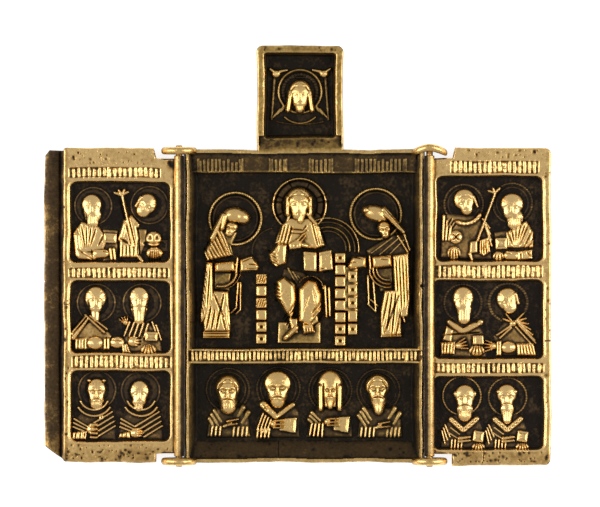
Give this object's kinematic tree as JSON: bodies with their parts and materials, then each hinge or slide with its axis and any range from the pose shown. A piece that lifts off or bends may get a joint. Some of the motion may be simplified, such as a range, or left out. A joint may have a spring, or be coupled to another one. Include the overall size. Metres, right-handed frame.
{
  "type": "folding triptych icon",
  "caption": "Small cast brass folding triptych in low relief: a centre panel with a plaque above and two hinged wings that shut over it.",
  "frame": {"origin": "middle of the centre panel's back, on the plane that it lies on", "axes": "+X across the open wings, +Y up towards the plaque, +Z out of the relief"},
  "size_m": [0.1218, 0.1012, 0.0096],
  "materials": {
    "centre_brass": "cast brass with dark brown patina in the hollows, worn bright on the relief",
    "left_wing_brass": "cast brass, tan and worn on the faces, near-black in the fields",
    "right_wing_brass": "cast brass, tan and worn on the faces, near-black in the fields"
  },
  "bodies": {
    "centre": {"centre_panel": "centre_brass"},
    "left_leaf": {"left_wing": "left_wing_brass"},
    "right_leaf": {"right_wing": "right_wing_brass"}
  },
  "joints": [
    {"name": "left_hinge", "type": "hinge", "parent": "centre", "child": "left_leaf", "pos_m": [-0.03005, 0, 0.0053], "axis": [0, 1, 0], "range_deg": [0, 180]},
    {"name": "right_hinge", "type": "hinge", "parent": "centre", "child": "right_leaf", "pos_m": [0.03005, 0, 0.0053], "axis": [0, -1, 0], "range_deg": [0, 180]}
  ]
}
